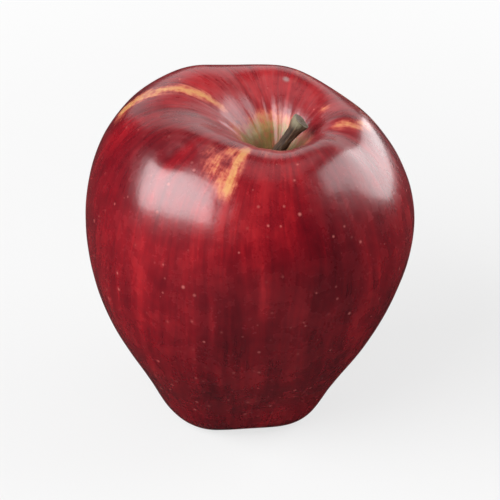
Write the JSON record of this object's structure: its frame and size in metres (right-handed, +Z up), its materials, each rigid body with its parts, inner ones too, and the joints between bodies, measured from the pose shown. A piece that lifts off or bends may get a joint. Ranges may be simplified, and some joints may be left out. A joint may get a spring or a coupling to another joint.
{
  "type": "apple",
  "caption": "Tall, ribbed, dark red dessert apple standing upright, with a short stalk in its cavity and the dried calyx in the basin underneath.",
  "frame": {"origin": "in the plane of the five resting flats, below the middle of the fruit's outline seen from above", "axes": "+Z up along the fruit from the eye end to the stalk end; +X towards the side that the stalk leans to; -Y towards the front"},
  "size_m": [0.08, 0.0798, 0.0846],
  "materials": {
    "skin": "thin waxy skin, deep crimson with fine streaks and pale dots, soft gloss; the flesh behind it belongs to the same solid",
    "stalk_bark": "dry brown bark, matt, with a paler grey-green end",
    "dried_sepal": "dry, papery and downy, grey-brown, matt",
    "dried_stamen": "dry, dark brown, matt",
    "dried_style": "dry, dark brown, matt"
  },
  "bodies": {
    "root": {"fruit": "skin", "stalk": "stalk_bark", "sepal_1": "dried_sepal", "sepal_2": "dried_sepal", "sepal_3": "dried_sepal", "sepal_4": "dried_sepal", "sepal_5": "dried_sepal", "stamens": "dried_stamen", "styles": "dried_style"}
  },
  "joints": []
}
